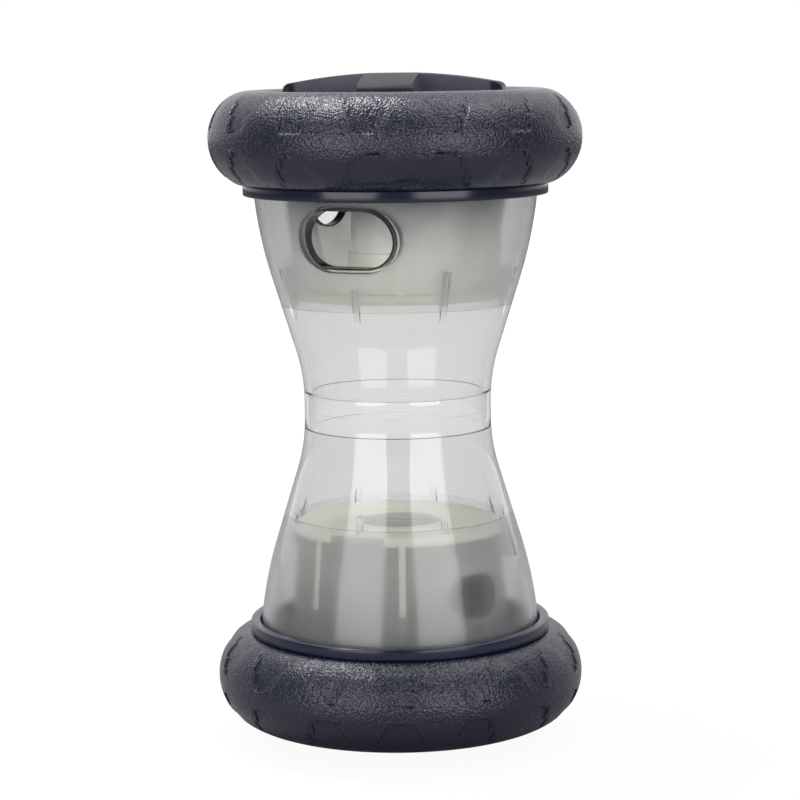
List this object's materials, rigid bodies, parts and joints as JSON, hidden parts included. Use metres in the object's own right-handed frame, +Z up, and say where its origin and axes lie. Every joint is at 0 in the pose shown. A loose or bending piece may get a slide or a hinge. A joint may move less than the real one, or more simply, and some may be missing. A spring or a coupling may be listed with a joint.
{
  "type": "treat dispensing toy",
  "caption": "Hourglass treat dispenser for dogs: clear shells between tyre-shaped end rings, with a treat port and a turning selector cap at each end.",
  "frame": {"origin": "middle of the flat crown of the lower turning cap, which the toy stands on", "axes": "+Z up along the turning axis of both caps; -Y is the side that the picture shows, about 21 degrees from the upper port"},
  "size_m": [0.11, 0.11, 0.1978],
  "materials": {
    "clear_shell": "clear polycarbonate, glossy at the waist and lightly frosted towards both ends",
    "navy_gloss": "smooth dark navy nylon, moulded, semi-gloss",
    "tyre_rubber": "charcoal navy rubber with a fine leather-like grain and shallow tread pockets",
    "grip_plastic": "dark navy plastic, fine spark-eroded grain on top, smooth walls",
    "frosted_cup": "milky translucent plastic with a faint green-grey tone",
    "soft_seal": "soft dark elastomer, satin"
  },
  "bodies": {
    "lower_end": {"lower_hub": "navy_gloss", "lower_tyre": "tyre_rubber", "lower_gasket": "soft_seal"},
    "lower_selector": {"lower_cap": "grip_plastic", "lower_cap_ring": "soft_seal", "lower_cup": "frosted_cup", "lower_tube": "frosted_cup", "lower_port_liner": "navy_gloss", "lower_flap_gate": "soft_seal", "lower_small_liner": "navy_gloss"},
    "shells": {"lower_shell": "clear_shell", "waist_ring": "clear_shell", "upper_shell": "clear_shell"},
    "upper_end": {"upper_hub": "navy_gloss", "upper_tyre": "tyre_rubber", "upper_gasket": "soft_seal"},
    "upper_selector": {"upper_cap": "grip_plastic", "upper_cap_ring": "soft_seal", "upper_cup": "frosted_cup", "upper_tube": "frosted_cup", "upper_port_liner": "navy_gloss", "upper_flap_gate": "soft_seal", "upper_small_liner": "navy_gloss"}
  },
  "joints": [
    {"name": "lower_cap_turn", "type": "hinge", "parent": "lower_end", "child": "lower_selector", "pos_m": [0, 0, 0.02], "axis": [0, 0, 1], "continuous": true},
    {"name": "shells_lift", "type": "slide", "parent": "lower_end", "child": "shells", "axis": [0, 0, 1], "range_m": [0, 0.04]},
    {"name": "upper_end_lift", "type": "slide", "parent": "shells", "child": "upper_end", "axis": [0, 0, 1], "range_m": [0, 0.04]},
    {"name": "upper_cap_turn", "type": "hinge", "parent": "upper_end", "child": "upper_selector", "pos_m": [0, 0, 0.178], "axis": [0, 0, 1], "continuous": true}
  ]
}
